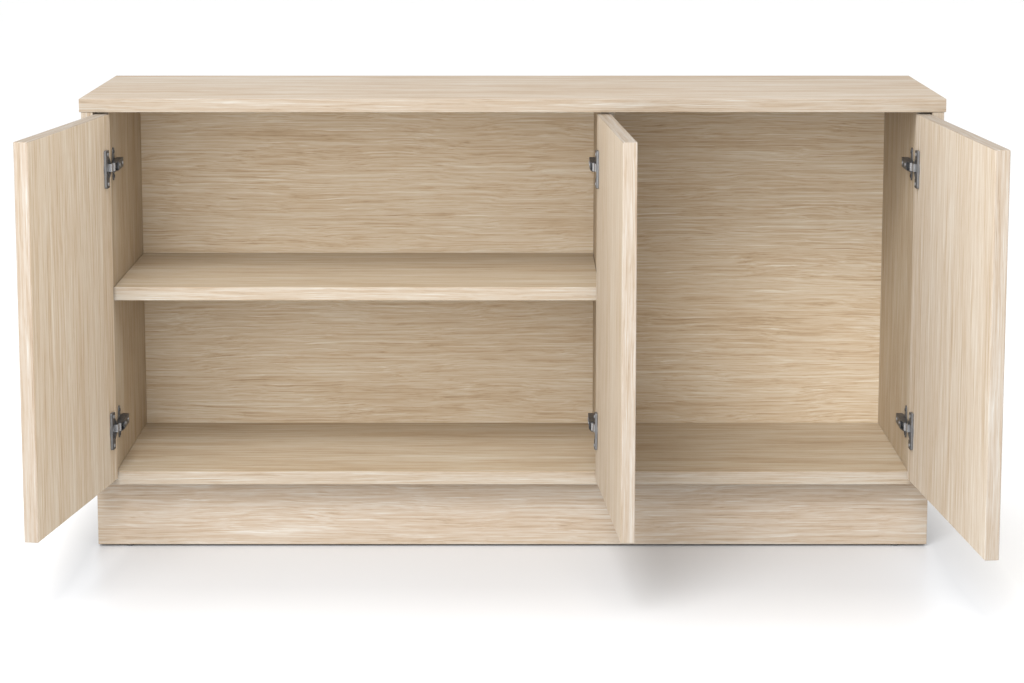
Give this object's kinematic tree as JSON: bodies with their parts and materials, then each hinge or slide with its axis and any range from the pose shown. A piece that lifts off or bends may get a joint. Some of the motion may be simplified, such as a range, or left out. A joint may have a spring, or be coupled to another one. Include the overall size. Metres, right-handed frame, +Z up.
{
  "type": "office credenza",
  "caption": "Pale oak office credenza with open hinged doors, a shelved bay beside an open bay, concealed cup hinges and a recessed plinth",
  "frame": {"origin": "centre of the middle floor glide's underside, on the floor below the middle of the top", "axes": "+X along the length to the viewer's right, +Y to the back, +Z up; the doors face -Y"},
  "size_m": [1.6577, 1.0463, 0.8702],
  "materials": {
    "wood": "pale washed oak laminate on board, grain along each board, matching edge bands",
    "dark_steel": "dark grey plated hinge steel, satin",
    "pale_steel": "pale nickel plated steel, satin",
    "plastic": "black moulded plastic, matte"
  },
  "bodies": {
    "carcass": {"top_panel": "wood", "left_end_panel": "wood", "right_end_panel": "wood", "left_side_panel": "wood", "right_side_panel": "wood", "partition_panel": "wood", "bottom_panel": "wood", "left_back_panel": "wood", "right_back_panel": "wood", "adjustable_shelf": "wood", "plinth_front_rail": "wood", "plinth_rear_rail": "wood", "plinth_left_return": "wood", "plinth_right_return": "wood", "plinth_cross_rail": "wood", "shelf_pin_left_front": "pale_steel", "shelf_pin_left_rear": "pale_steel", "shelf_pin_right_front": "pale_steel", "shelf_pin_right_rear": "pale_steel", "glide_front_left": "plastic", "glide_front_right": "plastic", "glide_rear_left": "plastic", "glide_rear_right": "plastic", "glide_middle": "plastic", "left_upper_hinge_arm": "dark_steel", "left_upper_hinge_plate": "dark_steel", "left_lower_hinge_arm": "dark_steel", "left_lower_hinge_plate": "dark_steel", "middle_upper_hinge_arm": "dark_steel", "middle_upper_hinge_plate": "dark_steel", "middle_lower_hinge_arm": "dark_steel", "middle_lower_hinge_plate": "dark_steel", "right_upper_hinge_arm": "dark_steel", "right_upper_hinge_plate": "dark_steel", "right_lower_hinge_arm": "dark_steel", "right_lower_hinge_plate": "dark_steel"},
    "left_door": {"left_door": "wood", "left_upper_hinge_cup": "dark_steel", "left_lower_hinge_cup": "dark_steel"},
    "left_links": {"left_upper_hinge_link": "pale_steel", "left_lower_hinge_link": "pale_steel"},
    "middle_door": {"middle_door": "wood", "middle_upper_hinge_cup": "dark_steel", "middle_lower_hinge_cup": "dark_steel"},
    "middle_links": {"middle_upper_hinge_link": "pale_steel", "middle_lower_hinge_link": "pale_steel"},
    "right_door": {"right_door": "wood", "right_upper_hinge_cup": "dark_steel", "right_lower_hinge_cup": "dark_steel"},
    "right_links": {"right_upper_hinge_link": "pale_steel", "right_lower_hinge_link": "pale_steel"}
  },
  "joints": [
    {"name": "left_door_swing", "type": "hinge", "parent": "carcass", "child": "left_door", "pos_m": [-0.763, -0.229, 0.4944], "axis": [0, 0, -1], "range_deg": [-98.5, 6.5]},
    {"name": "left_link_swing", "type": "hinge", "parent": "carcass", "child": "left_links", "pos_m": [-0.74121, -0.21893, 0.4944], "axis": [0, 0, -1], "range_deg": [-3.9, 56.4]},
    {"name": "middle_door_swing", "type": "hinge", "parent": "carcass", "child": "middle_door", "pos_m": [0.173, -0.229, 0.4944], "axis": [0, 0, 1], "range_deg": [-93.5, 11.5]},
    {"name": "middle_link_swing", "type": "hinge", "parent": "carcass", "child": "middle_links", "pos_m": [0.15121, -0.21893, 0.4944], "axis": [0, 0, 1], "range_deg": [-6.8, 53.6]},
    {"name": "right_door_swing", "type": "hinge", "parent": "carcass", "child": "right_door", "pos_m": [0.763, -0.229, 0.4944], "axis": [0, 0, 1], "range_deg": [-94.5, 10.5]},
    {"name": "right_link_swing", "type": "hinge", "parent": "carcass", "child": "right_links", "pos_m": [0.74121, -0.21893, 0.4944], "axis": [0, 0, 1], "range_deg": [-6.2, 54.2]}
  ],
  "couplings": [
    {"joint": "left_link_swing", "follows": "left_door_swing", "ratio": -0.57092},
    {"joint": "middle_link_swing", "follows": "middle_door_swing", "ratio": -0.57092},
    {"joint": "right_link_swing", "follows": "right_door_swing", "ratio": -0.57092}
  ]
}
